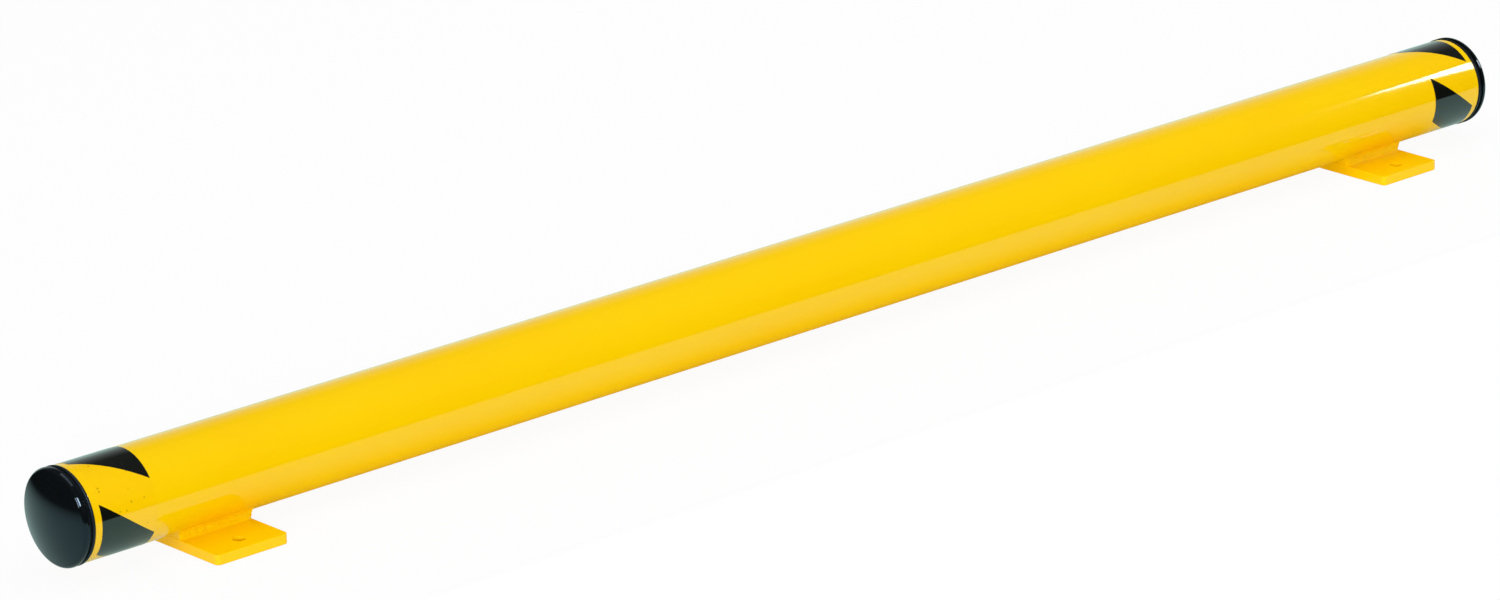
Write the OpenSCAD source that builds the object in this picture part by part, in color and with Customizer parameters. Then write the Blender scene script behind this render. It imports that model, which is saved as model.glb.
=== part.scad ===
// Horizontal safety bollard: a capped steel pipe welded across two anchor plates.
// Millimetres, +Z up, +X along the pipe, -Y is the front.
// The origin lies on the floor, midway between the plates and under the pipe's axis.

/* [Pipe] */
// Length of the pipe from cut end to cut end
pipe_length = 2286; // [1200:1:3000]
// Outside diameter of the pipe
pipe_od = 114.3; // [100:0.1:141.3]
// Wall thickness of the pipe
pipe_wall = 4.8; // [3:0.1:8]
// Width of the deburred edge at each cut end
pipe_deburr = 0.6; // [0.2:0.1:1.2]

/* [Base plates] */
// Length of a plate along the pipe
plate_length = 101.6; // [80:0.1:140]
// Width of a plate across the pipe
plate_width = 203.2; // [185:0.1:260]
// Thickness of a plate
plate_thickness = 12.7; // [8:0.1:20]
// Radius of the plate's upright corners
plate_corner_r = 4; // [2:0.5:10]
// Width of the softened edge round the plate's top
plate_arris = 0.8; // [0.3:0.1:1.5]
// Distance from the pipe's end to the plate's nearer edge
plate_inset = 131.3; // [110:0.1:250]
// Diameter of an anchor hole
anchor_hole_d = 15.9; // [12:0.1:20]
// Distance from a hole's centre to the plate's side edge
anchor_edge = 25.4; // [20:0.1:32]

/* [Welds] */
// Angle from the pipe's lowest line up to the weld's upper toe
weld_toe_angle = 33; // [25:0.5:42]
// Angle from the pipe's lowest line to the weld's root
weld_root_angle = 12; // [8:0.5:15]
// Reach of the weld on the plate beyond its upper toe
weld_leg = 5; // [3:0.5:14]
// Height of the bead's crown over a flat face
weld_crown = 1.2; // [0.5:0.1:2]
// Distance from the plate's edge to the weld's end
weld_end_gap = 1.5; // [1:0.5:12]
// Radius of the weld's rounded end, seen from above
weld_end_r = 9; // [5:0.5:12]

/* [End caps] */
// How far the rim stands out beyond the pipe's surface
cap_overhang = 1.1; // [0.3:0.1:3]
// Radius of the round lip that rests on the pipe's cut end
cap_lip_r = 2; // [1.5:0.1:2.2]
// Distance from the pipe's end to the groove's far side
cap_groove_end = 8.5; // [6:0.5:9]
// Depth of the groove between the lip and the head
cap_groove_depth = 3.2; // [1.5:0.1:3.5]
// Width of the softened edge between the groove and the head
cap_edge = 0.5; // [0.3:0.1:0.8]
// Distance from the pipe's end to the start of the shoulder
cap_rim = 10; // [9.5:0.5:16]
// Radius of the shoulder between rim and dome
cap_shoulder_r = 6; // [3:0.5:12]
// Radius of the shallow dome
cap_dome_r = 150; // [100:1:260]
// Thickness of the moulded wall
cap_wall = 3; // [2:0.1:4]
// Length of the plug inside the pipe
spigot_length = 36; // [26:1:60]
// Gap between the plug's wall and the pipe's bore
spigot_clearance = 1.8; // [1:0.1:3]
// Number of flexible fins round the plug
fin_count = 4; // [2:1:6]
// Thickness of a fin at its foot
fin_base = 3; // [2:0.1:4]
// Thickness of a fin at its lip
fin_lip = 0.8; // [0.5:0.1:1.5]
// Gap between a fin's lip and the pipe's bore
fin_clearance = 0.1; // [0.05:0.05:0.4]

/* [Hazard tape] */
// Width of the tape
tape_width = 76.2; // [50:0.1:100]
// Distance from the pipe's end to the tape
tape_inset = 8.8; // [3:0.1:20]
// Thickness of the yellow film
film_thickness = 0.2; // [0.1:0.05:0.4]
// Thickness of the black printed stripes
print_thickness = 0.1; // [0.05:0.05:0.2]
// Angle between a stripe's edge and the pipe's axis
stripe_lay = 36; // [25:1:45]
// Angle round the pipe that one stripe covers on the left tape
left_stripe_angle = 66.6; // [50:0.1:72]
// Angle from the top to the first stripe on the left tape
left_stripe_start = -67.7; // [-90:0.1:0]
// Angle round the pipe that one stripe covers on the right tape
right_stripe_angle = 62; // [50:0.1:72]
// Angle from the top to the first stripe on the right tape
right_stripe_start = -69.6; // [-90:0.1:0]

/* [Hidden] */
$fn = 96;

// Overshoot of a cutting shape, so that no cut ends flush with a face
cut = 1;
// The pipe rests on the plates, so its axis stands one radius above them
pipe_r = pipe_od / 2;
bore_r = pipe_r - pipe_wall;
half_pipe = pipe_length / 2;
axis_z = plate_thickness + pipe_r;
// Centre of a plate, measured along the pipe from the middle
plate_x = half_pipe - plate_inset - plate_length / 2;
anchor_y = plate_width / 2 - anchor_edge;

// The weld's section: upper toe on the pipe, lower toe on the plate
weld_toe_y = pipe_r * sin(weld_toe_angle);
weld_toe_z = pipe_r * (1 - cos(weld_toe_angle));
weld_foot_y = weld_toe_y + weld_leg;
weld_root_y = pipe_r * sin(weld_root_angle);
weld_length = plate_length - 2 * weld_end_gap;
weld_face = norm([weld_leg, weld_toe_z]);
weld_face_r = weld_face * weld_face / (8 * weld_crown) + weld_crown / 2;

// The cap's outline: the dome and the shoulder share a tangent at cap_join_r
cap_r = pipe_r + cap_overhang;
cap_join_r = (cap_r - cap_shoulder_r) * cap_dome_r / (cap_dome_r - cap_shoulder_r);
cap_join_angle = asin(cap_join_r / cap_dome_r);
cap_dome_z = cap_rim + (cap_shoulder_r - cap_dome_r) * cos(cap_join_angle);
spigot_r = bore_r - spigot_clearance;
fin_r = bore_r - fin_clearance;
fin_pitch = spigot_length / (fin_count + 1);

// The tape: film on the pipe, print on the film
film_r = pipe_r + film_thickness;
tape_left_x = -half_pipe + tape_inset;
tape_right_x = half_pipe - tape_inset - tape_width;
stripes_per_tape = 3;
// Turn of a stripe's edge, in degrees for each millimetre along the pipe
stripe_shift = tan(stripe_lay) / (pipe_r * PI / 180);
// Steps of a stripe's skin, round the pipe and along it
skin_around = 14;
skin_along = 12;

// Turns a shape drawn round +Z so that it lies along +X on the pipe's axis
module along_axis() {
  translate([0, 0, axis_z])
    rotate([0, 90, 0])
      children();
}

// Pipe: hollow section with both cut ends deburred
module pipe() {
  color([0.98, 0.80, 0.08])
    along_axis()
      rotate_extrude()
        polygon([
          [bore_r, -half_pipe],
          [pipe_r - pipe_deburr, -half_pipe],
          [pipe_r, -half_pipe + pipe_deburr],
          [pipe_r, half_pipe - pipe_deburr],
          [pipe_r - pipe_deburr, half_pipe],
          [bore_r, half_pipe]
        ]);
}

// Plate outline with true round corners
module plate_outline() {
  flat_x = plate_length - 2 * plate_corner_r;
  flat_y = plate_width - 2 * plate_corner_r;
  square([plate_length, flat_y], center = true);
  square([flat_x, plate_width], center = true);
  for (sx = [-1, 1], sy = [-1, 1])
    translate([sx * flat_x / 2, sy * flat_y / 2])
      circle(r = plate_corner_r);
}

// Base plate: flat bar with an anchor hole on each side of the pipe
module base_plate(side) {
  color([0.97, 0.78, 0.05])
    translate([side * plate_x, 0, 0])
      difference() {
        linear_extrude(plate_thickness)
          plate_outline();
        for (sy = [-1, 1])
          translate([0, sy * anchor_y, -cut])
            cylinder(d = anchor_hole_d, h = plate_thickness + 2 * cut);
        plate_arris_cut();
      }
}

// The softened edge round the plate's top: straight runs and quarter-round corners
module plate_arris_cut() {
  flat_x = plate_length - 2 * plate_corner_r;
  flat_y = plate_width - 2 * plate_corner_r;
  for (sy = [-1, 1])
    translate([0, sy * plate_width / 2, plate_thickness])
      rotate([45, 0, 0])
        cube([flat_x, plate_arris * sqrt(2), plate_arris * sqrt(2)], center = true);
  for (sx = [-1, 1])
    translate([sx * plate_length / 2, 0, plate_thickness])
      rotate([0, 45, 0])
        cube([plate_arris * sqrt(2), flat_y, plate_arris * sqrt(2)], center = true);
  for (sx = [-1, 1], sy = [-1, 1])
    translate([sx * flat_x / 2, sy * flat_y / 2, plate_thickness])
      rotate([0, 0, sx > 0 ? (sy > 0 ? 0 : 270) : (sy > 0 ? 90 : 180)])
        rotate_extrude(angle = 90)
          polygon([
            [plate_corner_r - plate_arris, 0],
            [plate_corner_r, -plate_arris],
            [plate_corner_r + cut, -plate_arris],
            [plate_corner_r + cut, cut],
            [plate_corner_r - plate_arris, cut]
          ]);
}

// Weld section, with Y across the pipe and Z up from the plate
module weld_section() {
  difference() {
    union() {
      polygon([
        [weld_root_y, 0],
        [weld_foot_y, 0],
        [weld_toe_y, weld_toe_z],
        [weld_root_y, weld_toe_z]
      ]);
      weld_crown_arc();
    }
    translate([0, pipe_r])
      circle(r = pipe_r);
  }
}

// The convex face of the bead, between its two toes
module weld_crown_arc() {
  lean = atan2(weld_toe_z, -weld_leg);
  intersection() {
    translate([(weld_foot_y + weld_toe_y) / 2, weld_toe_z / 2])
      rotate(lean)
        translate([0, weld_face_r - weld_crown])
          circle(r = weld_face_r);
    polygon([
      [weld_foot_y, 0],
      [weld_foot_y + weld_crown, 0],
      [weld_foot_y + weld_crown, weld_toe_z],
      [weld_toe_y, weld_toe_z],
    ]);
  }
}

// Plan of a bead: straight, with the outer corners rounded off
module weld_plan() {
  square([weld_length, weld_foot_y + weld_crown - weld_end_r]);
  translate([weld_end_r, 0])
    square([weld_length - 2 * weld_end_r, weld_foot_y + weld_crown]);
  for (x = [weld_end_r, weld_length - weld_end_r])
    translate([x, weld_foot_y + weld_crown - weld_end_r])
      circle(r = weld_end_r);
}

// Fillet weld between the pipe and one plate
module weld(side, face) {
  color([0.97, 0.80, 0.15])
    translate([side * plate_x - weld_length / 2, 0, plate_thickness])
      mirror([0, face < 0 ? 1 : 0, 0])
        intersection() {
          rotate([90, 0, 90])
            linear_extrude(weld_length)
              weld_section();
          linear_extrude(pipe_r)
            weld_plan();
        }
}

// Outline of the cap beyond the pipe's end, with X as radius and Y outward
module cap_outline() {
  intersection() {
    translate([0, cap_dome_z])
      circle(r = cap_dome_r, $fn = 360);
    square([cap_join_r, cap_rim + cap_r]);
  }
  translate([cap_r - cap_shoulder_r, cap_rim])
    circle(r = cap_shoulder_r);
  square([cap_r - cap_groove_depth, cap_rim]);
  polygon([
    [0, cap_groove_end],
    [cap_r - cap_edge, cap_groove_end],
    [cap_r, cap_groove_end + cap_edge],
    [cap_r, cap_rim],
    [0, cap_rim]
  ]);
  square([cap_r - cap_lip_r, 2 * cap_lip_r]);
  translate([cap_r - cap_lip_r, cap_lip_r])
    circle(r = cap_lip_r);
}

// One flexible fin: thick at the plug, thin at its lip, leaning back
module fin_profile() {
  polygon([
    [spigot_r - cap_wall / 2, 0],
    [spigot_r, 0],
    [fin_r, fin_base - fin_lip],
    [fin_r, fin_base],
    [spigot_r, fin_base],
    [spigot_r - cap_wall / 2, fin_base]
  ]);
}

// Moulded end cap: domed head, hollow plug and fins
module cap_solid() {
  rotate_extrude()
    difference() {
      union() {
        cap_outline();
        translate([0, -spigot_length])
          square([spigot_r, spigot_length + cut]);
        for (i = [1:fin_count])
          translate([0, -i * fin_pitch])
            fin_profile();
      }
      cap_hollow();
    }
}

// The hollow inside the plug, closed by the dome's own wall
module cap_hollow() {
  intersection() {
    translate([0, cap_dome_z])
      circle(r = cap_dome_r - cap_wall, $fn = 360);
    translate([0, -spigot_length - cut])
      square([spigot_r - cap_wall, spigot_length + cap_rim + cap_r]);
  }
}

// End cap, pushed into the pipe until its rim meets the cut end
module end_cap(side) {
  color([0.06, 0.07, 0.08])
    translate([side * half_pipe, 0, axis_z])
      rotate([0, side * 90, 0])
        cap_solid();
}

// Tape film: one wrap of yellow round the pipe
module tape_film(start_x) {
  color([1.0, 0.82, 0.05])
    translate([start_x, 0, 0])
      along_axis()
        rotate_extrude()
          translate([pipe_r, 0])
            square([film_thickness, tape_width]);
}

// A point on the tape, at a distance along it and an angle from the top to the front
function tape_point(x, angle, r) = [x, -r * sin(angle), r * cos(angle)];

// Inner radius at which the skin's flat facets rest on the film
function skin_r(step) = film_r / cos(step / 2);

// One printed stripe: a thin skin that winds along a helix
module stripe(start_angle, cover) {
  step = cover / skin_around;
  inner = skin_r(max(step, stripe_shift * tape_width / skin_along));
  row = skin_around + 1;
  layer = row * (skin_along + 1);
  points = [
    for (r = [inner, inner + print_thickness])
      for (i = [0:skin_along])
        for (j = [0:skin_around])
          let (x = i * tape_width / skin_along)
            tape_point(x, start_angle + stripe_shift * x + j * step, r)
  ];
  inner_faces = [
    for (i = [0:skin_along - 1], j = [0:skin_around - 1])
      let (a = i * row + j)
        each [[a, a + 1, a + row], [a + 1, a + row + 1, a + row]]
  ];
  outer_faces = [
    for (f = inner_faces)
      [f[2] + layer, f[1] + layer, f[0] + layer]
  ];
  along_faces = [
    for (i = [0:skin_along - 1])
      let (a = i * row, b = a + skin_around)
        each [[a, a + row, a + row + layer, a + layer], [b + row, b, b + layer, b + row + layer]]
  ];
  end_faces = [
    for (j = [0:skin_around - 1])
      let (a = j, b = j + skin_along * row)
        each [[a + 1, a, a + layer, a + 1 + layer], [b, b + 1, b + 1 + layer, b + layer]]
  ];
  polyhedron(points, concat(inner_faces, outer_faces, along_faces, end_faces));
}

// Printed stripes of one tape
module tape_stripes(start_x, first, cover) {
  color([0.09, 0.10, 0.10])
    translate([start_x, 0, axis_z])
      for (i = [0:stripes_per_tape - 1])
        stripe(first + 2 * i * cover, cover);
}

pipe();
base_plate(-1);  // left_base_plate
base_plate(1);  // right_base_plate
weld(-1, -1);  // left_front_weld
weld(-1, 1);  // left_back_weld
weld(1, -1);  // right_front_weld
weld(1, 1);  // right_back_weld
end_cap(-1);  // left_end_cap
end_cap(1);  // right_end_cap
tape_film(tape_left_x);  // left_tape_film
tape_film(tape_right_x);  // right_tape_film
tape_stripes(tape_left_x, left_stripe_start, left_stripe_angle);  // left_tape_stripes
tape_stripes(tape_right_x, right_stripe_start, right_stripe_angle);  // right_tape_stripes
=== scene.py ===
from math import asin, cos, degrees, hypot, pi, radians, sin, sqrt, tan

import bmesh
import bpy
from mathutils import Matrix, Vector, noise


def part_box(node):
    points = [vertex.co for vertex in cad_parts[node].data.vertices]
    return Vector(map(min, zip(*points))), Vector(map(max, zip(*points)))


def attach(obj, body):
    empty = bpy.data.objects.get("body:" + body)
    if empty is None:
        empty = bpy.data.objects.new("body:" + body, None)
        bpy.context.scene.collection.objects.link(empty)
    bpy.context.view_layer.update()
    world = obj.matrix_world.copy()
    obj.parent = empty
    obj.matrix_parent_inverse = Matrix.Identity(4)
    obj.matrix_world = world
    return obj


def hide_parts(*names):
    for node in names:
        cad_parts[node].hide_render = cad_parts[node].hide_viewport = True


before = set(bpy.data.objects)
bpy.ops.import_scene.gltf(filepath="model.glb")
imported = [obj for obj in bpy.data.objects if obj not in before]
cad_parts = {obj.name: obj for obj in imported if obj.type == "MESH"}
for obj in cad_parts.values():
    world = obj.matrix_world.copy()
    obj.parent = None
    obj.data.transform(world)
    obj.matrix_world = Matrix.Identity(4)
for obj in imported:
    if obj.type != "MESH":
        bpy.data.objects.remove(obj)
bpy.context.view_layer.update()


# Steel pipe
# A length of welded steel tube, 4.5 inches across, saw cut and deburred at both ends.
# It is blasted and powder coated yellow after welding, so paint runs over every edge.
pipe_low, pipe_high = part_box("pipe")
pipe_start = pipe_low[0]
pipe_end = pipe_high[0]
pipe_r = (pipe_high[2] - pipe_low[2]) / 2
axis_z = (pipe_high[2] + pipe_low[2]) / 2
pipe_wall = 0.0048
bore_r = pipe_r - pipe_wall
cut_edge_r = 0.0006
pipe_spans = 24
cut_edge_steps = 4
facets_round = 256
on_axis = 1e-6
same_spot = 1e-7


def linear(code):
    """An sRGB hex colour as the linear colour that a shader takes."""
    steps = [int(code[i:i + 2], 16) / 255 for i in (1, 3, 5)]
    return [s / 12.92 if s <= 0.04045 else ((s + 0.055) / 1.055) ** 2.4 for s in steps] + [1.0]


def add(tree, kind, wired=None, **settings):
    """Adds a node, sets its properties and fills its sockets with values or with outputs."""
    made = tree.nodes.new(kind)
    for name, value in settings.items():
        setattr(made, name, value)
    for socket, value in (wired or {}).items():
        if isinstance(value, bpy.types.NodeSocket):
            tree.links.new(value, made.inputs[socket])
        else:
            made.inputs[socket].default_value = value
    return made


def arc(centre, radius, start, end, steps):
    """Points of an arc in the plane of a profile, from one angle to another in degrees."""
    angles = [radians(start + (end - start) * i / steps) for i in range(steps + 1)]
    return [(centre[0] + radius * cos(a), centre[1] + radius * sin(a)) for a in angles]


def finish_mesh(name, bm, material, sharp_angle=35):
    """Turns a bmesh into a piece with smooth faces, sharp only where the surface really turns."""
    bmesh.ops.remove_doubles(bm, verts=bm.verts, dist=same_spot)
    bmesh.ops.recalc_face_normals(bm, faces=bm.faces)
    mesh = bpy.data.meshes.new(name)
    bm.to_mesh(mesh)
    bm.free()
    mesh.materials.append(material)
    mesh.shade_smooth()
    mesh.set_sharp_from_angle(angle=radians(sharp_angle))
    piece = bpy.data.objects.new(name, mesh)
    even = piece.modifiers.new("even_normals", "WEIGHTED_NORMAL")
    even.keep_sharp = True
    even.weight = 80
    bpy.context.scene.collection.objects.link(piece)
    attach(piece, "root")
    return piece


def turned(name, outline, material, sharp_angle=35):
    """A closed outline of (x, radius) points, turned round the pipe's axis."""
    bm = bmesh.new()
    rings = []
    for step in range(facets_round):
        a = 2 * pi * step / facets_round
        rings.append([bm.verts.new((x, -r * sin(a), axis_z + r * cos(a))) for x, r in outline])
    for step in range(facets_round):
        here, after = rings[step], rings[(step + 1) % facets_round]
        for i in range(len(outline)):
            j = (i + 1) % len(outline)
            if max(outline[i][1], outline[j][1]) > on_axis:
                bm.faces.new((here[i], here[j], after[j], after[i]))
    return finish_mesh(name, bm, material, sharp_angle)


# Powder coat on steel: glossy polyester, even in colour but for a slow drift, with an orange
# peel that only bends its reflections a little and a few specks of dirt baked into it. Real
# peel is 1 to 3 mm across; it is drawn at 2.5 to 4 mm, as coarse as it needs to be to show.
coat_drift_size = 0.14
coat_drift = 1.04
coat_dirt = "#7A5A12"
coat_speck_spacing = 0.022
coat_speck_edge = (0.05, 0.02)
coat_speck_limit = 0.9
coat_speck_share = 0.45
coat_rub_size = 0.03
coat_gloss = (0.055, 0.08)
polyester_ior = 1.5
# A noise hardly leaves this band, so it is stretched from here to the whole range
noise_low, noise_high = 0.3, 0.7


def powder_coat(name, colour, peel_mm=3.0, peel_depth_mm=0.008, shine=0.32):
    material = bpy.data.materials.new(name)
    material.use_nodes = True
    tree = material.node_tree
    shader = tree.nodes["Principled BSDF"]
    place = add(tree, "ShaderNodeTexCoord").outputs["Object"]
    cloud = add(tree, "ShaderNodeTexNoise", {
        "Vector": place, "Scale": 1 / coat_drift_size, "Detail": 3.0})
    tone = add(tree, "ShaderNodeMapRange", {
        "Value": cloud.outputs["Fac"], "From Min": noise_low, "From Max": noise_high})
    deep = linear(colour)
    pale = [min(1.0, c * coat_drift) for c in deep[:3]] + [1.0]
    coat = add(tree, "ShaderNodeMix", {
        0: tone.outputs["Result"], 6: deep, 7: pale}, data_type="RGBA")
    specks = add(tree, "ShaderNodeTexVoronoi", {"Vector": place, "Scale": 1 / coat_speck_spacing})
    pick = add(tree, "ShaderNodeSeparateColor", {"Color": specks.outputs["Color"]})
    rare = add(tree, "ShaderNodeMath", {
        0: pick.outputs["Red"], 1: coat_speck_limit}, operation="GREATER_THAN")
    near = add(tree, "ShaderNodeMapRange", {
        "Value": specks.outputs["Distance"], "From Min": coat_speck_edge[0],
        "From Max": coat_speck_edge[1]})
    speck = add(tree, "ShaderNodeMath", {
        0: rare.outputs[0], 1: near.outputs["Result"]}, operation="MULTIPLY")
    faint = add(tree, "ShaderNodeMath", {
        0: speck.outputs[0], 1: coat_speck_share}, operation="MULTIPLY")
    dirty = add(tree, "ShaderNodeMix", {
        0: faint.outputs[0], 6: coat.outputs[2], 7: linear(coat_dirt)}, data_type="RGBA")
    tree.links.new(dirty.outputs[2], shader.inputs["Base Color"])
    rub = add(tree, "ShaderNodeTexNoise", {
        "Vector": place, "Scale": 1 / coat_rub_size, "Detail": 4.0})
    gloss = add(tree, "ShaderNodeMapRange", {
        "Value": rub.outputs["Fac"], "From Min": noise_low, "From Max": noise_high,
        "To Min": coat_gloss[0], "To Max": coat_gloss[1]})
    tree.links.new(gloss.outputs["Result"], shader.inputs["Roughness"])
    peel = add(tree, "ShaderNodeTexNoise", {
        "Vector": place, "Scale": 1000 / peel_mm, "Detail": 1.5, "Roughness": 0.4})
    bump = add(tree, "ShaderNodeBump", {
        "Height": peel.outputs["Fac"], "Distance": peel_depth_mm / 1000})
    tree.links.new(bump.outputs["Normal"], shader.inputs["Normal"])
    shader.inputs["IOR"].default_value = polyester_ior
    shader.inputs["Specular IOR Level"].default_value = shine
    return material


pipe_coat = powder_coat("powder_coated_steel_pipe", "#FFCE01")
edge_r = pipe_r - cut_edge_r
pipe_outline = [(pipe_start, bore_r)]
pipe_outline += arc((pipe_start + cut_edge_r, edge_r), cut_edge_r, 180, 90, cut_edge_steps)
for i in range(1, pipe_spans):
    pipe_outline.append((pipe_start + (pipe_end - pipe_start) * i / pipe_spans, pipe_r))
pipe_outline += arc((pipe_end - cut_edge_r, edge_r), cut_edge_r, 90, 0, cut_edge_steps)
pipe_outline.append((pipe_end, bore_r))
pipe = turned("steel_pipe", pipe_outline, pipe_coat)
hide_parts("pipe")


# Base plates
# Two pieces of half-inch flat bar, sheared to 4 by 8 inches, with a drilled anchor hole
# on each side of the pipe. Paint softens the sheared edges and pools round the holes.
plate_coat = powder_coat("powder_coated_flat_bar", "#FFCC01", peel_mm=4.0,
                         peel_depth_mm=0.012, shine=0.25)
corner_r = 0.006
hole_r = 0.0077
hole_facets = 48
hole_from_edge = 0.0254
paint_round = 0.0009
hole_round = 0.0004
corner_steps = 8
hole_round_steps = 3
paint_round_steps = 4
# Edges that turn more sharply than this, in radians, are rounded, and those within this many
# radii of a hole's middle belong to the hole
square_turn = 1.2
hole_zone = 1.5


def loop_of(bm, points, z):
    """A closed loop of edges through points at one height."""
    corners = [bm.verts.new((x, y, z)) for x, y in points]
    following = corners[1:] + corners[:1]
    return [bm.edges.new(pair) for pair in zip(corners, following)]


def base_plate(side):
    """A plate with its two holes, raised from its outline and then rounded at its edges."""
    low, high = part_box(side + "_base_plate")
    mid_x = (low[0] + high[0]) / 2
    hole_y = high[1] - hole_from_edge
    edge = []
    for sx, sy, start in ((1, 1, 0), (-1, 1, 90), (-1, -1, 180), (1, -1, 270)):
        centre = (mid_x + sx * ((high[0] - low[0]) / 2 - corner_r), sy * (high[1] - corner_r))
        edge += arc(centre, corner_r, start, start + 90, corner_steps)
    bm = bmesh.new()
    lines = loop_of(bm, edge, low[2])
    for sy in (-1, 1):
        rim = arc((mid_x, sy * hole_y), hole_r, 0, 360 - 360 / hole_facets, hole_facets - 1)
        lines += loop_of(bm, rim, low[2])
    bmesh.ops.triangle_fill(bm, use_beauty=True, use_dissolve=False, edges=lines)
    raised = bmesh.ops.extrude_face_region(bm, geom=list(bm.faces))
    top = [v for v in raised["geom"] if isinstance(v, bmesh.types.BMVert)]
    bmesh.ops.translate(bm, verts=top, vec=(0, 0, high[2] - low[2]))
    bmesh.ops.recalc_face_normals(bm, faces=bm.faces)
    rims = [e for e in bm.edges if len(e.link_faces) == 2 and e.calc_face_angle(0) > square_turn]
    inner = []
    outer = []
    for e in rims:
        spot = e.verts[0].co
        from_hole = hypot(spot.x - mid_x, abs(spot.y) - hole_y)
        (outer if from_hole > hole_zone * hole_r else inner).append(e)
    bmesh.ops.bevel(bm, geom=inner, offset=hole_round, segments=hole_round_steps,
                    profile=0.5, affect="EDGES")
    bmesh.ops.bevel(bm, geom=outer, offset=paint_round, segments=paint_round_steps,
                    profile=0.5, affect="EDGES")
    plate = finish_mesh(side + "_flat_bar", bm, plate_coat, sharp_angle=50)
    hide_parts(side + "_base_plate")


base_plate("left")
base_plate("right")


# Weld beads
# Four hand-run fillet welds join the pipe to the plates, one on each side of each foot.
# Each has overlapping ripples, uneven toes and round ends, all under the same paint.
bead_coat = powder_coat("powder_coated_weld_bead", "#FFCC01", peel_mm=2.5,
                        peel_depth_mm=0.015, shine=0.1)
bead_skin = 0.0004
crown_height = 0.0012
# Ripples: each bows along the bead in its middle and rises slowly to a steep back edge
ripple_pitch = 0.0058
ripple_height = 0.0003
ripple_bow = 0.9
ripple_skew = 1.6
ripple_level = 0.4
ripple_drift, ripple_waves = 0.5, 60
# Height of each other unevenness, how many waves of it fit in a metre, and how many fit
# across the bead
foot_wander, foot_waves = 0.0011, 90
toe_wander, toe_waves = 0.0009, 110
lump_height, lump_waves, lump_across = 0.0007, 170, 2.2
streak_height, streak_waves, streak_across = 0.0009, 45, 5.0
end_length = 0.007
end_flare = 0.0018
end_reach = 0.001
end_lean = 0.0024
end_width = 0.84
low_fillet_size = 0.0025
high_fillet_size = 0.008
low_fillet_rows = 3
high_fillet_rows = 8
bead_stations = 190
bead_rows = 22
back_rows = 4
plate_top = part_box("left_base_plate")[1][2]
# Places measured along the bead from its left end: pits in its upper toe, and a ridge left
# where the welder stopped and started again
left_pits = (0.0105, 0.0135, 0.0168, 0.0206, 0.0248)
pit_depth = 0.0026
pit_reach = 0.0016
right_restart = 0.062
restart_height = 0.0009
restart_reach = 0.0017


def fillet(a, corner, b, t):
    """A point of the soft curve that paint makes in a corner, from a to b."""
    return a * (1 - t) ** 2 + corner * 2 * t * (1 - t) + b * t ** 2


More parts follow.
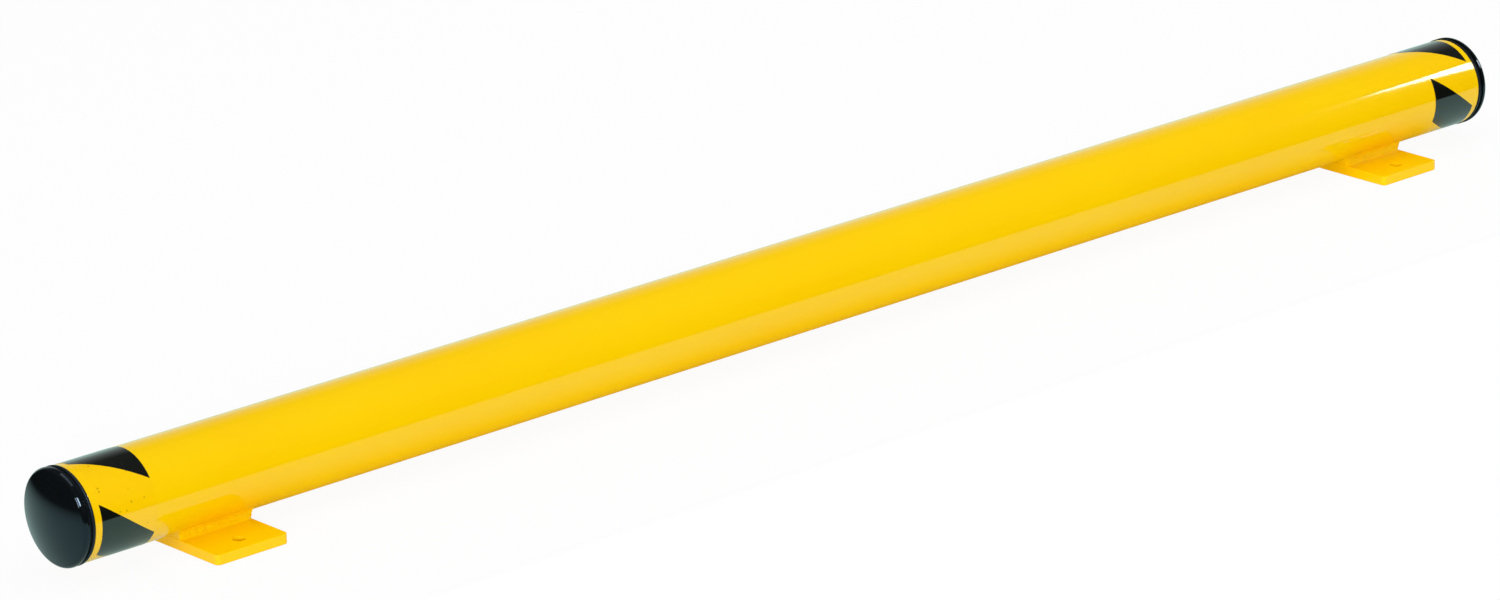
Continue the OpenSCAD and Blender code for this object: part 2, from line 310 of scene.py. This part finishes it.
def bead(node, pits, restart):
    """A bead as a row of cross sections, each with paint fillets at its foot and its toe."""
    low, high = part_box(node)
    low[0] -= end_reach
    high[0] += end_reach
    front = -1 if high[1] < 0 else 1
    foot = max(abs(low[1]), abs(high[1])) - bead_skin
    root = min(abs(low[1]), abs(high[1]))
    toe_height = high[2] - low[2] + bead_skin
    length = high[0] - low[0]
    # The seed and the other plain numbers in a noise only pick which part of it is used
    seed = low[0] * 7 + front
    bm = bmesh.new()
    sections = []
    for i in range(bead_stations + 1):
        along = length * i / bead_stations
        x = low[0] + along
        from_end = min(along, length - along)
        swell = sqrt(max(0.0, 1 - (1 - min(1.0, from_end / end_length)) ** 2))
        full = end_width + (1 - end_width) * swell
        wander = foot_wander * noise.noise(Vector((x * foot_waves, seed, 0.3)))
        wander_up = toe_wander * noise.noise(Vector((x * toe_waves, seed, 4.1)))
        foot_y = root + (foot - root) * full + wander
        toe_z = toe_height + wander_up + end_flare * (1 - swell)
        toe_y = sqrt(pipe_r ** 2 - (pipe_r - toe_z) ** 2)
        foot_pt = Vector((foot_y, 0.0))
        toe_pt = Vector((toe_y, toe_z))
        out = Vector((toe_z, foot_y - toe_y)).normalized()
        row = []
        for j in range(bead_rows + 1):
            v = j / bead_rows
            crown = 1 - (2 * v - 1) ** 2
            drift = ripple_drift * noise.noise(Vector((x * ripple_waves, v, seed)))
            ripple = ((along / ripple_pitch + ripple_bow * crown + drift) % 1.0) ** ripple_skew
            lump = noise.noise(Vector((x * lump_waves, v * lump_across, seed + 2)))
            streak = noise.noise(Vector((x * streak_waves, v * streak_across, seed + 8)))
            lift = crown_height * crown * full
            lift += ripple_height * (ripple - ripple_level) * min(1.0, 3 * crown)
            lift += lump_height * crown * lump
            lift += streak_height * crown * streak
            if restart:
                ridge = max(0.0, 1 - abs(along - restart) / restart_reach)
                lift += restart_height * crown * ridge
            row.append(foot_pt.lerp(toe_pt, v) + out * lift)
        lean = end_lean * max(0.0, 1 - from_end / end_length) * (1 if along > length / 2 else -1)
        low_pt = Vector((foot_y + low_fillet_size, 0.0))
        low_end = row[low_fillet_rows]
        low_fillet = [fillet(low_pt, foot_pt, low_end, t / (low_fillet_rows + 1))
                      for t in range(low_fillet_rows + 1)]
        high_z = toe_z + high_fillet_size
        high_pt = Vector((sqrt(pipe_r ** 2 - (pipe_r - high_z) ** 2), high_z))
        high_start = row[-1 - high_fillet_rows]
        high_fillet = [fillet(high_start, toe_pt, high_pt, t / (high_fillet_rows + 1))
                       for t in range(1, high_fillet_rows + 2)]
        row = low_fillet + row[low_fillet_rows:-high_fillet_rows] + high_fillet
        toe_row = len(row) - 1 - high_fillet_rows // 2
        for pit in pits:
            hollow = pit_depth * max(0.0, 1 - abs(along - pit) / pit_reach)
            row[toe_row] = row[toe_row] - out * hollow
            row[toe_row - 1] = row[toe_row - 1] - out * hollow * 0.5
        row = [bm.verts.new((x + lean * min(1.0, p.y / toe_z), front * p.x,
                             plate_top + max(0.0, p.y))) for p in row]
        for j in range(1, back_rows + 1):
            y = high_pt.x + (root - high_pt.x) * j / back_rows
            row.append(bm.verts.new((x + lean, front * y, axis_z - sqrt(pipe_r ** 2 - y * y))))
        row.append(bm.verts.new((x, front * root, plate_top)))
        sections.append(row)
    count = len(sections[0])
    for here, after in zip(sections, sections[1:]):
        for k in range(count):
            n = (k + 1) % count
            bm.faces.new((here[k], here[n], after[n], after[k]))
    bm.faces.new(sections[0])
    bm.faces.new(list(reversed(sections[-1])))
    piece = finish_mesh(node + "_bead", bm, bead_coat, sharp_angle=60)
    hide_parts(node)


bead("left_front_weld", left_pits, None)
bead("left_back_weld", (), None)
bead("right_front_weld", (), right_restart)
bead("right_back_weld", (), None)


# End caps
# Moulded low-density polyethylene plugs. A round lip rests on the pipe's cut end, a groove
# parts it from the shallow domed head, and fins round the hollow plug grip the bore.
cap_overhang = 0.0011
cap_lip_r = 0.002
cap_groove_end = 0.0085
cap_groove_depth = 0.0032
cap_groove_soft = 0.0003
cap_lip_sink = 0.0002
cap_edge = 0.0005
cap_rim = 0.010
cap_shoulder_r = 0.006
cap_dome_r = 0.150
cap_wall = 0.003
plug_length = 0.036
plug_gap = 0.0018
plug_r = bore_r - plug_gap
fin_count = 4
fin_base = 0.003
fin_lip = 0.0008
fin_gap = 0.0001
fin_r = bore_r - fin_gap
dome_steps = 40
shoulder_steps = 40
cap_edge_steps = 5
lip_steps = 16
hollow_steps = 10

# Moulded polyethylene: near black and bluish in its shine, with a polished head, a matt
# groove and lip, and rub marks that only change how sharply it shines. Its grain is about
# 0.1 mm across; it is drawn at 1.2 mm, as coarse as it needs to be to show.
cap_black = ("#080B0C", "#0E1214")
cap_tone_size = 0.05
cap_grain_size = 0.0012
cap_grain_depth = 0.000001
cap_rub_size = 0.012
cap_polish = (0.04, 0.06)
cap_matt = 0.5
cap_ior = 1.43
cap_shine = 0.5
cap_shine_tint = (0.56, 0.76, 1.0, 1.0)
cap_plastic = bpy.data.materials.new("moulded_polyethylene_black")
cap_plastic.use_nodes = True
cap_tree = cap_plastic.node_tree
cap_shader = cap_tree.nodes["Principled BSDF"]
cap_place = add(cap_tree, "ShaderNodeTexCoord").outputs["Object"]
cap_cloud = add(cap_tree, "ShaderNodeTexNoise", {
    "Vector": cap_place, "Scale": 1 / cap_tone_size, "Detail": 4.0})
cap_tone = add(cap_tree, "ShaderNodeMix", {
    0: cap_cloud.outputs["Fac"], 6: linear(cap_black[0]), 7: linear(cap_black[1])},
    data_type="RGBA")
cap_tree.links.new(cap_tone.outputs[2], cap_shader.inputs["Base Color"])
cap_rub = add(cap_tree, "ShaderNodeTexNoise", {
    "Vector": cap_place, "Scale": 1 / cap_rub_size, "Detail": 5.0})
cap_gloss = add(cap_tree, "ShaderNodeMapRange", {
    "Value": cap_rub.outputs["Fac"], "From Min": noise_low, "From Max": noise_high,
    "To Min": cap_polish[0], "To Max": cap_polish[1]})
cap_xyz = add(cap_tree, "ShaderNodeSeparateXYZ", {"Vector": cap_place})
cap_out = add(cap_tree, "ShaderNodeMath", {0: cap_xyz.outputs["X"]}, operation="ABSOLUTE")
cap_head = add(cap_tree, "ShaderNodeMapRange", {
    "Value": cap_out.outputs[0], "From Min": pipe_end + cap_groove_end - cap_edge,
    "From Max": pipe_end + cap_groove_end})
cap_sheen = add(cap_tree, "ShaderNodeMix", {
    0: cap_head.outputs["Result"], 2: cap_matt, 3: cap_gloss.outputs["Result"]},
    data_type="FLOAT")
cap_tree.links.new(cap_sheen.outputs[0], cap_shader.inputs["Roughness"])
cap_grain = add(cap_tree, "ShaderNodeTexNoise", {
    "Vector": cap_place, "Scale": 1 / cap_grain_size, "Detail": 2.0})
cap_bump = add(cap_tree, "ShaderNodeBump", {
    "Height": cap_grain.outputs["Fac"], "Distance": cap_grain_depth})
cap_tree.links.new(cap_bump.outputs["Normal"], cap_shader.inputs["Normal"])
cap_shader.inputs["IOR"].default_value = cap_ior
cap_shader.inputs["Specular IOR Level"].default_value = cap_shine
cap_shader.inputs["Specular Tint"].default_value = cap_shine_tint


def end_cap(side, end_x, outward):
    """A cap turned from one outline: dome, shoulder, groove, lip, fins and hollow plug."""
    rim_r = pipe_r + cap_overhang
    groove_r = rim_r - cap_groove_depth
    join_r = (rim_r - cap_shoulder_r) * cap_dome_r / (cap_dome_r - cap_shoulder_r)
    join = asin(join_r / cap_dome_r)
    dome_x = cap_rim + (cap_shoulder_r - cap_dome_r) * cos(join)
    inner_r = plug_r - cap_wall
    inner_join = asin(inner_r / (cap_dome_r - cap_wall))
    shape = arc((dome_x, 0), cap_dome_r, 0, degrees(join), dome_steps)
    shoulder_at = (cap_rim, rim_r - cap_shoulder_r)
    shape += arc(shoulder_at, cap_shoulder_r, degrees(join), 90, shoulder_steps)[1:]
    edge_at = (cap_groove_end + cap_edge, rim_r - cap_edge)
    shape += arc(edge_at, cap_edge, 90, 180, cap_edge_steps)
    shape.append((cap_groove_end, groove_r + cap_groove_soft))
    shape.append((cap_groove_end - cap_groove_soft, groove_r))
    shape.append((2 * cap_lip_r - cap_lip_sink, groove_r))
    shape += arc((cap_lip_r, rim_r - cap_lip_r), cap_lip_r, 0, 180, lip_steps)
    shape.append((0.0, plug_r))
    for i in range(1, fin_count + 1):
        foot_x = -i * plug_length / (fin_count + 1)
        shape += [(foot_x + fin_base, plug_r), (foot_x + fin_base, fin_r),
                  (foot_x + fin_base - fin_lip, fin_r), (foot_x, plug_r)]
    shape += [(-plug_length, plug_r), (-plug_length, inner_r)]
    shape += arc((dome_x, 0), cap_dome_r - cap_wall, degrees(inner_join), 0, hollow_steps)
    outline = [(end_x + outward * x, max(0.0, r)) for x, r in shape]
    cap = turned(side + "_polyethylene_cap", outline, cap_plastic, sharp_angle=40)
    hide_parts(side + "_end_cap")


end_cap("left", pipe_start, -1)
end_cap("right", pipe_end, 1)


# Hazard tape
# Three-inch vinyl tape wound once round the pipe near each end, yellow with black stripes
# printed on it. The film follows the paint and has a clean slit edge.
film = 0.0002
film_edge_r = 0.00008
film_edge_steps = 3
ink = 0.0001
stripe_lay = radians(36)
stripes_per_tape = 3
stripe_columns = 44
stripe_rows = 40

# Calendered vinyl film: glossy and smooth, with slow ripples from the hand that laid it and
# small marks of dirt, most of them on the left tape. Print and film differ only in colour and
# in how strongly they shine.
vinyl_tone_size = 0.04
vinyl_mark_spacing = 0.009
vinyl_mark_edge = (0.2, 0.1)
vinyl_mark_limit = 0.72
vinyl_mark_share = (0.08, 0.5)
vinyl_mark_sides = (0.1, -0.1)
vinyl_rub_size = 0.02
vinyl_ripple_size = 0.012
vinyl_ripple_depth = 0.000008
vinyl_gloss = (0.04, 0.06)
vinyl_ior = 1.53


def vinyl(name, colours, shine, shine_tint):
    """A vinyl that drifts between two colours and has marks of a third."""
    material = bpy.data.materials.new(name)
    material.use_nodes = True
    tree = material.node_tree
    shader = tree.nodes["Principled BSDF"]
    place = add(tree, "ShaderNodeTexCoord").outputs["Object"]
    cloud = add(tree, "ShaderNodeTexNoise", {
        "Vector": place, "Scale": 1 / vinyl_tone_size, "Detail": 4.0})
    tone = add(tree, "ShaderNodeMix", {
        0: cloud.outputs["Fac"], 6: linear(colours[0]), 7: linear(colours[1])}, data_type="RGBA")
    marks = add(tree, "ShaderNodeTexVoronoi", {"Vector": place, "Scale": 1 / vinyl_mark_spacing})
    pick = add(tree, "ShaderNodeSeparateColor", {"Color": marks.outputs["Color"]})
    rare = add(tree, "ShaderNodeMath", {
        0: pick.outputs["Red"], 1: vinyl_mark_limit}, operation="GREATER_THAN")
    near = add(tree, "ShaderNodeMapRange", {
        "Value": marks.outputs["Distance"], "From Min": vinyl_mark_edge[0],
        "From Max": vinyl_mark_edge[1]})
    mark = add(tree, "ShaderNodeMath", {
        0: rare.outputs[0], 1: near.outputs["Result"]}, operation="MULTIPLY")
    side = add(tree, "ShaderNodeSeparateXYZ", {"Vector": place})
    handled = add(tree, "ShaderNodeMapRange", {
        "Value": side.outputs["X"], "From Min": vinyl_mark_sides[0],
        "From Max": vinyl_mark_sides[1],
        "To Min": vinyl_mark_share[0], "To Max": vinyl_mark_share[1]})
    faint = add(tree, "ShaderNodeMath", {
        0: mark.outputs[0], 1: handled.outputs["Result"]}, operation="MULTIPLY")
    dirty = add(tree, "ShaderNodeMix", {
        0: faint.outputs[0], 6: tone.outputs[2], 7: linear(colours[2])}, data_type="RGBA")
    tree.links.new(dirty.outputs[2], shader.inputs["Base Color"])
    rub = add(tree, "ShaderNodeTexNoise", {
        "Vector": place, "Scale": 1 / vinyl_rub_size, "Detail": 4.0})
    gloss = add(tree, "ShaderNodeMapRange", {
        "Value": rub.outputs["Fac"], "From Min": noise_low, "From Max": noise_high,
        "To Min": vinyl_gloss[0], "To Max": vinyl_gloss[1]})
    tree.links.new(gloss.outputs["Result"], shader.inputs["Roughness"])
    ripple = add(tree, "ShaderNodeTexNoise", {
        "Vector": place, "Scale": 1 / vinyl_ripple_size, "Detail": 1.0})
    bump = add(tree, "ShaderNodeBump", {
        "Height": ripple.outputs["Fac"], "Distance": vinyl_ripple_depth})
    tree.links.new(bump.outputs["Normal"], shader.inputs["Normal"])
    shader.inputs["IOR"].default_value = vinyl_ior
    shader.inputs["Specular IOR Level"].default_value = shine
    shader.inputs["Specular Tint"].default_value = shine_tint
    return material


yellow_vinyl = vinyl("vinyl_film_yellow", ("#FFCD01", "#FFCF02", "#8A5A10"), shine=0.4,
                     shine_tint=(1.0, 1.0, 1.0, 1.0))
black_vinyl = vinyl("vinyl_film_printed_black", ("#0D0F0B", "#12130F", "#23282A"), shine=0.55,
                    shine_tint=(0.84, 1.0, 0.96, 1.0))


def tape_film(side):
    low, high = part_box(side + "_tape_film")
    edge_z = pipe_r + film - film_edge_r
    outline = [(low[0], pipe_r)]
    outline += arc((low[0] + film_edge_r, edge_z), film_edge_r, 180, 90, film_edge_steps)
    outline += arc((high[0] - film_edge_r, edge_z), film_edge_r, 90, 0, film_edge_steps)
    outline.append((high[0], pipe_r))
    band = turned(side + "_vinyl_band", outline, yellow_vinyl, sharp_angle=60)
    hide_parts(side + "_tape_film")


def tape_stripes(side, first, cover):
    """Stripes that start at an angle from the top and cover another, both in degrees."""
    low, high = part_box(side + "_tape_film")
    width = high[0] - low[0]
    turn = tan(stripe_lay) / pipe_r
    bm = bmesh.new()
    for n in range(stripes_per_tape):
        start = radians(first + 2 * n * cover)
        layers = []
        for r in (pipe_r + film, pipe_r + film + ink):
            grid = []
            for i in range(stripe_rows + 1):
                x = width * i / stripe_rows
                angles = [start + turn * x + radians(cover) * j / stripe_columns
                          for j in range(stripe_columns + 1)]
                grid.append([bm.verts.new((low[0] + x, -r * sin(a), axis_z + r * cos(a)))
                             for a in angles])
            layers.append(grid)
        under, over = layers
        for i in range(stripe_rows):
            for j in range(stripe_columns):
                bm.faces.new((over[i][j], over[i][j + 1], over[i + 1][j + 1], over[i + 1][j]))
                bm.faces.new((under[i][j], under[i + 1][j], under[i + 1][j + 1], under[i][j + 1]))
            for j in (0, stripe_columns):
                bm.faces.new((under[i][j], over[i][j], over[i + 1][j], under[i + 1][j]))
        for i in (0, stripe_rows):
            for j in range(stripe_columns):
                bm.faces.new((under[i][j], under[i][j + 1], over[i][j + 1], over[i][j]))
    print_layer = finish_mesh(side + "_printed_stripes", bm, black_vinyl, sharp_angle=60)
    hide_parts(side + "_tape_stripes")


tape_film("left")
tape_film("right")
tape_stripes("left", first=-67.7, cover=66.6)
tape_stripes("right", first=-69.6, cover=62.0)


# Studio
# The object lies on white paper that ends a little way in front of it. Past that edge the
# studio is dark, which gives the paint its deep upper half and pale lower half. In the gloss
# the paper shows a painted pool of light round the left end with painted shade past it, and
# painted yellow bounce light under the pipe, where the paint's colour would fall on it. The
# camera sees the whole floor white, with a soft shadow on the paper.
paper_front = -0.34
paper_left = -1.1
paper_edge = 0.01
# The painted pool of light fades over this length, and is dark and bright at these shares of it
pool_fade = 1.0
pool_dark, pool_bright = 0.92, 0.12
# Left of the first X only the painted pool is lit, and right of the second all of the paper
beside_from, beside_to = -1.15, -1.0
# How far right of paper_left the front edge starts: nothing of it before the second value,
# all of it past the first
past_end_from, past_end_to = 0.17, 0.1
# The painted yellow bounce light under the pipe: its middle in X, and how far each way
# it ends and is full
bounce_middle = 0.055
bounce_end, bounce_full_end = 1.075, 1.025
bounce_side, bounce_full_side = 0.13, 0.05
# Shares of the paper that glow by themselves, for mirrored rays and for the camera's
mirror_share = 0.35
camera_glow = 0.94
mirror_glow = 1.3
paper_white = "#F2F2F2"
past_paper = "#2C2C2C"
# Mirrored rays see painted light on the lit paper, and the dark floor past the paper or painted
# shade past the pool
painted_lit_paper = "#D4F8F1"
past_paper_and_painted_shade = "#141C1B"
# Painted yellow bounce light that the pipe's paint would throw onto the paper
painted_yellow_bounce = "#F0C440"
floor_half = 14

floor_mesh = bpy.data.meshes.new("studio_floor")
floor_corners = [(-floor_half, -floor_half, 0), (floor_half, -floor_half, 0),
                 (floor_half, floor_half, 0), (-floor_half, floor_half, 0)]
floor_mesh.from_pydata(floor_corners, [], [(0, 1, 2, 3)])
studio_floor = bpy.data.objects.new("studio_floor", floor_mesh)
bpy.context.scene.collection.objects.link(studio_floor)

paper = bpy.data.materials.new("white_studio_paper")
paper.use_nodes = True
paper_tree = paper.node_tree
paper_tree.nodes.clear()
paper_place = add(paper_tree, "ShaderNodeTexCoord").outputs["Object"]
paper_xyz = add(paper_tree, "ShaderNodeSeparateXYZ", {"Vector": paper_place})
behind_front = add(paper_tree, "ShaderNodeMapRange", {
    "Value": paper_xyz.outputs["Y"], "From Min": paper_front - paper_edge,
    "From Max": paper_front + paper_edge})
past_left = add(paper_tree, "ShaderNodeMapRange", {
    "Value": paper_xyz.outputs["X"], "From Min": paper_left, "From Max": paper_left - pool_fade})
past_back = add(paper_tree, "ShaderNodeMapRange", {
    "Value": paper_xyz.outputs["Y"], "From Min": 0.0, "From Max": pool_fade})
past_front = add(paper_tree, "ShaderNodeMapRange", {
    "Value": paper_xyz.outputs["Y"], "From Min": paper_front, "From Max": paper_front - pool_fade})
from_end = add(paper_tree, "ShaderNodeCombineXYZ", {
    "X": past_left.outputs["Result"], "Y": past_back.outputs["Result"],
    "Z": past_front.outputs["Result"]})
reach = add(paper_tree, "ShaderNodeVectorMath", {0: from_end.outputs[0]}, operation="LENGTH")
pool = add(paper_tree, "ShaderNodeMapRange", {
    "Value": reach.outputs["Value"], "From Min": pool_dark, "From Max": pool_bright},
    interpolation_type="SMOOTHERSTEP")
off_left = add(paper_tree, "ShaderNodeMapRange", {
    "Value": paper_xyz.outputs["X"], "From Min": paper_left + past_end_from,
    "From Max": paper_left + past_end_to})
whole = add(paper_tree, "ShaderNodeMath", {
    0: behind_front.outputs["Result"], 1: off_left.outputs["Result"]}, operation="MAXIMUM")
beside_pipe = add(paper_tree, "ShaderNodeMapRange", {
    "Value": paper_xyz.outputs["X"], "From Min": beside_from, "From Max": beside_to})
lit_paper = add(paper_tree, "ShaderNodeMath", {
    0: pool.outputs["Result"], 1: beside_pipe.outputs["Result"]}, operation="MAXIMUM")
# Painted pool of light: mirrored rays see the paper lit inside this mask and in painted shade
# outside it
painted_light_pool = add(paper_tree, "ShaderNodeMath", {
    0: whole.outputs[0], 1: lit_paper.outputs[0]}, operation="MULTIPLY")
# Painted yellow bounce light under the pipe, as a mask on the paper
to_middle = add(paper_tree, "ShaderNodeVectorMath", {
    0: paper_place, 1: (-bounce_middle, 0.0, 0.0)}, operation="ADD")
off_middle = add(paper_tree, "ShaderNodeVectorMath", {
    0: to_middle.outputs["Vector"]}, operation="ABSOLUTE")
off_xyz = add(paper_tree, "ShaderNodeSeparateXYZ", {"Vector": off_middle.outputs["Vector"]})
under_y = add(paper_tree, "ShaderNodeMapRange", {
    "Value": off_xyz.outputs["Y"], "From Min": bounce_side, "From Max": bounce_full_side})
under_x = add(paper_tree, "ShaderNodeMapRange", {
    "Value": off_xyz.outputs["X"], "From Min": bounce_end, "From Max": bounce_full_end})
painted_bounce_mask = add(paper_tree, "ShaderNodeMath", {
    0: under_y.outputs["Result"], 1: under_x.outputs["Result"]}, operation="MULTIPLY")
rays = add(paper_tree, "ShaderNodeLightPath")
mirrored = add(paper_tree, "ShaderNodeMath", {
    0: rays.outputs["Is Glossy Ray"], 1: rays.outputs["Is Transmission Ray"]}, operation="MAXIMUM")
painted_pool_tone = add(paper_tree, "ShaderNodeMix", {
    0: painted_light_pool.outputs[0], 6: linear(past_paper_and_painted_shade), 7: linear(painted_lit_paper)},
    data_type="RGBA")
# Painted light in the paper's colour for mirrored rays: the pool, the shade past it and the yellow
# bounce
painted_mirrored_light = add(paper_tree, "ShaderNodeMix", {
    0: painted_bounce_mask.outputs[0], 6: painted_pool_tone.outputs[2], 7: linear(painted_yellow_bounce)},
    data_type="RGBA")
floor_tone = add(paper_tree, "ShaderNodeMix", {
    0: behind_front.outputs["Result"], 6: linear(past_paper), 7: linear(paper_white)},
    data_type="RGBA")
sheet_tone = add(paper_tree, "ShaderNodeMix", {
    0: mirrored.outputs[0], 6: floor_tone.outputs[2], 7: painted_mirrored_light.outputs[2]},
    data_type="RGBA")
sheet_matt = add(paper_tree, "ShaderNodeBsdfDiffuse", {"Color": sheet_tone.outputs[2]})
glow_tone = add(paper_tree, "ShaderNodeMix", {
    0: mirrored.outputs[0], 6: linear("#FFFFFF"), 7: painted_mirrored_light.outputs[2]}, data_type="RGBA")
glow_level = add(paper_tree, "ShaderNodeMapRange", {
    "Value": mirrored.outputs[0], "To Min": 1.0, "To Max": mirror_glow})
sheet_white = add(paper_tree, "ShaderNodeEmission", {
    "Color": glow_tone.outputs[2], "Strength": glow_level.outputs["Result"]})
seen_share = add(paper_tree, "ShaderNodeMapRange", {
    "Value": behind_front.outputs["Result"], "To Min": 1.0, "To Max": camera_glow})
camera_share = add(paper_tree, "ShaderNodeMath", {
    0: rays.outputs["Is Camera Ray"], 1: seen_share.outputs["Result"]}, operation="MULTIPLY")
mirrored_share = add(paper_tree, "ShaderNodeMath", {
    0: mirrored.outputs[0], 1: mirror_share}, operation="MULTIPLY")
glow_share = add(paper_tree, "ShaderNodeMath", {
    0: camera_share.outputs[0], 1: mirrored_share.outputs[0]}, operation="MAXIMUM")
sheet = add(paper_tree, "ShaderNodeMixShader", {
    0: glow_share.outputs[0], 1: sheet_matt.outputs[0], 2: sheet_white.outputs[0]})
add(paper_tree, "ShaderNodeOutputMaterial", {"Surface": sheet.outputs[0]})
floor_mesh.materials.append(paper)

# A white wall stands behind the object to the right and fades upwards; the rest mirrors dark.
# Each pair is a part of a unit direction: where the wall starts, and where it is fully white.
wall_top, wall_full_down = 0.65, 0.12
wall_near, wall_full_back = 0.0, 0.3
wall_left, wall_full_right = -0.25, 0.15
# The ceiling mirrors dark near the horizon and paler from a certain height on
ceiling_from, ceiling_to = 0.08, 0.45
ceiling_dark, ceiling_pale = 0.01, 0.09
ambient_level = 0.54
wall_white = "#E0FFF6"

world = bpy.data.worlds.new("studio")
bpy.context.scene.world = world
world.use_nodes = True
sky = world.node_tree
sky.nodes.clear()
sky_place = add(sky, "ShaderNodeTexCoord").outputs["Generated"]
toward = add(sky, "ShaderNodeSeparateXYZ", {"Vector": sky_place})
low_enough = add(sky, "ShaderNodeMapRange", {
    "Value": toward.outputs["Z"], "From Min": wall_top, "From Max": wall_full_down})
behind = add(sky, "ShaderNodeMapRange", {
    "Value": toward.outputs["Y"], "From Min": wall_near, "From Max": wall_full_back},
    interpolation_type="SMOOTHSTEP")
rightward = add(sky, "ShaderNodeMapRange", {
    "Value": toward.outputs["X"], "From Min": wall_left, "From Max": wall_full_right},
    interpolation_type="SMOOTHSTEP")
corner = add(sky, "ShaderNodeMath", {
    0: behind.outputs["Result"], 1: rightward.outputs["Result"]}, operation="MULTIPLY")
wall = add(sky, "ShaderNodeMath", {
    0: low_enough.outputs["Result"], 1: corner.outputs[0]}, operation="MULTIPLY")
sky_rays = add(sky, "ShaderNodeLightPath")
sky_mirrored = add(sky, "ShaderNodeMath", {
    0: sky_rays.outputs["Is Glossy Ray"], 1: sky_rays.outputs["Is Transmission Ray"]},
    operation="MAXIMUM")
mirrored_wall = add(sky, "ShaderNodeMath", {
    0: sky_mirrored.outputs[0], 1: wall.outputs[0]}, operation="MULTIPLY")
sky_white = add(sky, "ShaderNodeMath", {
    0: sky_rays.outputs["Is Camera Ray"], 1: mirrored_wall.outputs[0]}, operation="MAXIMUM")
dim_ceiling = add(sky, "ShaderNodeMapRange", {
    "Value": toward.outputs["Z"], "From Min": ceiling_from, "From Max": ceiling_to,
    "To Min": ceiling_dark, "To Max": ceiling_pale})
ambient = add(sky, "ShaderNodeMix", {
    0: sky_mirrored.outputs[0], 2: ambient_level, 3: dim_ceiling.outputs["Result"]},
    data_type="FLOAT")
sky_level = add(sky, "ShaderNodeMix", {
    0: sky_white.outputs[0], 2: ambient.outputs[0], 3: 1.0}, data_type="FLOAT")
sky_colour = add(sky, "ShaderNodeMix", {
    0: mirrored_wall.outputs[0], 6: linear("#FFFFFF"), 7: linear(wall_white)}, data_type="RGBA")
sky_glow = add(sky, "ShaderNodeBackground", {
    "Color": sky_colour.outputs[2], "Strength": sky_level.outputs[0]})
add(sky, "ShaderNodeOutputWorld", {"Surface": sky_glow.outputs[0]})


def lamp(name, place, target, side, width, height, watts, mirrored_only=False):
    """A soft box that faces a target, with one edge along a side vector.

    A mirrored one lights nothing and only draws its streak in the gloss."""
    light = bpy.data.lights.new(name, "AREA")
    light.shape = "RECTANGLE"
    light.size = width
    light.size_y = height
    light.energy = watts
    box = bpy.data.objects.new(name, light)
    back = (Vector(place) - Vector(target)).normalized()
    along = (Vector(side) - back * back.dot(Vector(side))).normalized()
    turn = Matrix((along, back.cross(along), back)).transposed()
    box.matrix_world = Matrix.Translation(place) @ turn.to_4x4()
    box.visible_glossy = mirrored_only
    box.visible_diffuse = not mirrored_only
    box.visible_camera = False
    bpy.context.scene.collection.objects.link(box)


left_cap = (-1.16, 0, 0.07)
pipe_middle = (0, 0, 0.05)
lamp("overhead_soft_box", (0.5, -0.4, 3.2), (0, 0, 0), (1, 0, 0), 4.0, 3.0, 42)
lamp("key_soft_box", (-14.4, -15.7, 5.7), pipe_middle, (0.74, -0.67, 0), 4.0, 3.0, 2050)
lamp("left_soft_box", (-20.0, -2.4, 3.0), pipe_middle, (0, 1, 0), 4.0, 3.0, 380)
# The white wedge along the pipe's right end
lamp("wedge_soft_box", (2.72, -1.065, 1.105), (1.155, -0.268, 0.148), (0.544, 0.811, -0.214),
     0.285, 0.58, 13, mirrored_only=True)
# The double streak and the soft upper light on the left cap
lamp("cap_soft_box", (-2.884, -1.341, 1.405), left_cap, (0.13, 0.66, 0.74),
     0.7, 1.05, 62, mirrored_only=True)
lamp("low_soft_box", (-3.72, -0.03, 0.53), left_cap, (0.14, 0.57, 0.81),
     0.5, 0.8, 15, mirrored_only=True)
lamp("top_soft_box", (-1.2, 0.3, 2.3), left_cap, (1, 0, 0), 1.6, 1.6, 12, mirrored_only=True)


# Camera
# A long lens stands eight metres away to the front left and 2.6 m above the floor. It looks
# down by nearly 19 degrees and leans by just over one; its focal length is in photo pixels.
camera_place = Vector((-5.08276, -5.53934, 2.59011))
heading = 0.7312
dip = 0.3265
lean = -0.0238
focal_px = 6488
frame_px = 1500
sensor_mm = 36.0
forward = Vector((sin(heading) * cos(dip), cos(heading) * cos(dip), -sin(dip)))
level = Vector((cos(heading), -sin(heading), 0))
upright = level.cross(forward)
across = level * cos(lean) + upright * sin(lean)
upward = upright * cos(lean) - level * sin(lean)
lens = bpy.data.cameras.new("studio_camera")
lens.sensor_fit = "HORIZONTAL"
lens.sensor_width = sensor_mm
lens.lens = focal_px * sensor_mm / frame_px
lens.clip_end = 100
camera = bpy.data.objects.new("studio_camera", lens)
camera.matrix_world = Matrix((
    (across.x, upward.x, -forward.x, camera_place.x),
    (across.y, upward.y, -forward.y, camera_place.y),
    (across.z, upward.z, -forward.z, camera_place.z),
    (0, 0, 0, 1),
))
bpy.context.scene.collection.objects.link(camera)
bpy.context.scene.camera = camera
bpy.context.scene.view_settings.view_transform = "Standard"
